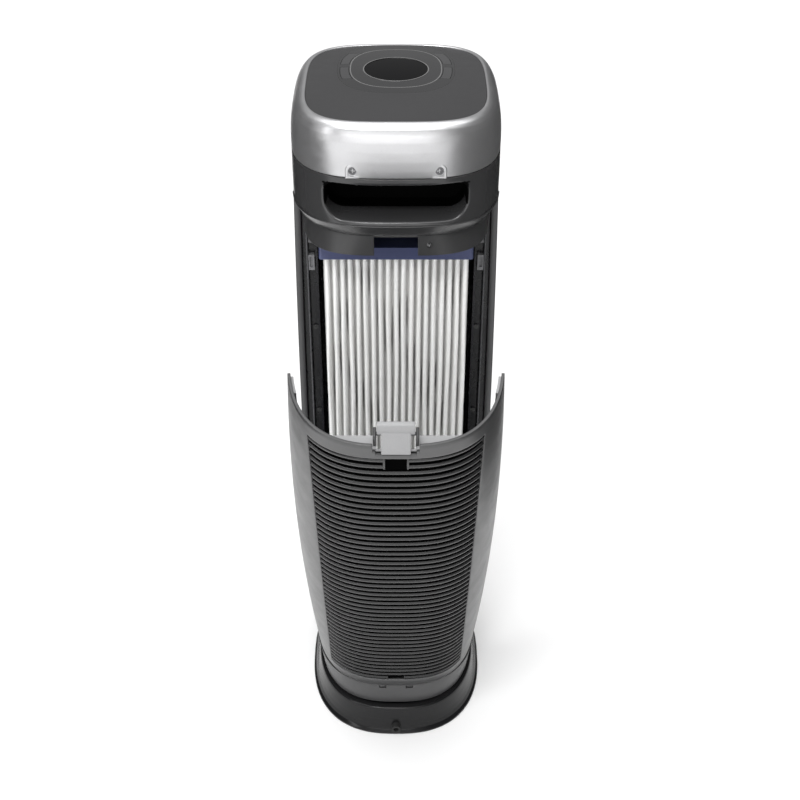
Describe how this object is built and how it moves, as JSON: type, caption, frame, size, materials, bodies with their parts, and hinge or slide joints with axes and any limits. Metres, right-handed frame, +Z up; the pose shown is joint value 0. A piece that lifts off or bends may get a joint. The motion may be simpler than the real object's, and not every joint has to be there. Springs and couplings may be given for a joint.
{
  "type": "tower air purifier",
  "caption": "Tower air purifier with a tilting louvred rear cover, pleated filter, centrifugal fan, UV lamp, carry handle and top control panel.",
  "frame": {"origin": "centre of the base on the surface it stands on", "axes": "+Z up, +X across, +Y to the rear where the filter cover is, -Y to the front with the air outlet"},
  "size_m": [0.191, 0.4276, 0.7152],
  "materials": {
    "base_black": "satin moulded",
    "plate_black": "moulded",
    "foot_rubber": "matte",
    "zinc_screw": "zinc plated",
    "ballast_iron": "raw",
    "inlet_rubber": "matte",
    "neck_black": "matte",
    "ring_grey": "satin moulded",
    "pin_steel": "bright",
    "shell_grey": "satin moulded",
    "grille_dark": "satin moulded",
    "duct_black": "matte",
    "frame_black": "glossy moulded",
    "catch_grey": "satin moulded",
    "dark_screw": "plated",
    "pleat_media": "fibrous",
    "cap_violet": "moulded",
    "carbon_foam": "open foam",
    "scroll_black": "matte",
    "inlet_ring_grey": "moulded",
    "wheel_white": "moulded",
    "shaft_steel": "ground",
    "motor_can": "drawn",
    "mount_rubber": "matte",
    "lamp_glass": "clear tube",
    "socket_white": "glazed",
    "reflector_alu": "bright",
    "board_green": "soldered",
    "head_dark": "satin moulded",
    "pocket_dark": "satin moulded",
    "floor_black": "matte",
    "skirt_dark": "satin moulded",
    "bright_screw": "plated",
    "silver_paint": "satin silver lacquer on plastic",
    "panel_grey": "fine texture",
    "fascia_gloss": "gloss film",
    "ring_light": "printed silver",
    "lens_black": "polished",
    "key_gloss": "gloss film",
    "cover_grey": "satin moulded",
    "louvre_grey": "satin moulded",
    "liner_light": "moulded",
    "latch_pin_dark": "black",
    "latch_grey": "satin moulded"
  },
  "bodies": {
    "housing": {"ballast_plate": "ballast_iron", "base_bottom_plate": "plate_black", "base_feet": "foot_rubber", "base_plinth": "base_black", "base_screws": "zinc_screw", "channel_screws": "dark_screw", "control_board": "board_green", "control_fascia": "fascia_gloss", "cord_inlet": "inlet_rubber", "display_lens": "lens_black", "fascia_ring": "ring_light", "filter_cradle": "frame_black", "filter_end_caps": "cap_violet", "filter_pleats": "pleat_media", "front_shell": "shell_grey", "handle_pocket": "pocket_dark", "head_floor": "floor_black", "head_shell": "head_dark", "hinge_pins": "pin_steel", "inlet_ring": "inlet_ring_grey", "lens_bezel": "ring_light", "lower_ring": "ring_grey", "motor": "motor_can", "motor_mounts": "mount_rubber", "motor_screws": "zinc_screw", "neck_collar": "neck_black", "outlet_duct": "duct_black", "outlet_grille": "grille_dark", "power_board": "board_green", "rear_frame": "frame_black", "scroll_front": "scroll_black", "scroll_rear": "scroll_black", "scroll_screws": "zinc_screw", "side_catches": "catch_grey", "side_rails": "frame_black", "silver_trim": "silver_paint", "skirt": "skirt_dark", "skirt_screw": "bright_screw", "top_panel": "panel_grey", "trim_screws": "bright_screw", "uv_lamp": "lamp_glass", "uv_reflector": "reflector_alu", "uv_sockets": "socket_white"},
    "rear_cover": {"cover_shell": "cover_grey", "cover_louvres": "louvre_grey", "cover_liner": "liner_light", "latch_bracket": "liner_light", "latch_pin": "latch_pin_dark", "carbon_prefilter": "carbon_foam"},
    "latch_lever": {"latch": "latch_grey"},
    "fan": {"impeller": "wheel_white", "motor_shaft": "shaft_steel", "hub_nut": "zinc_screw"},
    "power_key": {"key_power": "key_gloss"},
    "speed_key": {"key_speed": "key_gloss"},
    "uv_key": {"key_uv": "key_gloss"},
    "timer_key": {"key_timer": "key_gloss"}
  },
  "joints": [
    {"name": "cover_tilt", "type": "hinge", "parent": "housing", "child": "rear_cover", "pos_m": [0, 0.103, 0.0605], "axis": [1, 0, 0], "range_deg": [0, 23.7]},
    {"name": "latch_pivot", "type": "hinge", "parent": "rear_cover", "child": "latch_lever", "pos_m": [0, 0.29774, 0.54892], "axis": [-1, 0, 0], "range_deg": [0, 8], "stiffness_Nm_per_rad": 0.05, "springref_deg": -11.46},
    {"name": "fan_spin", "type": "hinge", "parent": "housing", "child": "fan", "pos_m": [0, 0, 0.2], "axis": [0, 1, 0], "continuous": true},
    {"name": "power_press", "type": "slide", "parent": "housing", "child": "power_key", "axis": [0, 0, -1], "range_m": [0, 0.0006], "stiffness_N_per_m": 1500, "springref_m": -0.0003},
    {"name": "speed_press", "type": "slide", "parent": "housing", "child": "speed_key", "axis": [0, 0, -1], "range_m": [0, 0.0006], "stiffness_N_per_m": 1500, "springref_m": -0.0003},
    {"name": "uv_press", "type": "slide", "parent": "housing", "child": "uv_key", "axis": [0, 0, -1], "range_m": [0, 0.0006], "stiffness_N_per_m": 1500, "springref_m": -0.0003},
    {"name": "timer_press", "type": "slide", "parent": "housing", "child": "timer_key", "axis": [0, 0, -1], "range_m": [0, 0.0006], "stiffness_N_per_m": 1500, "springref_m": -0.0003}
  ]
}
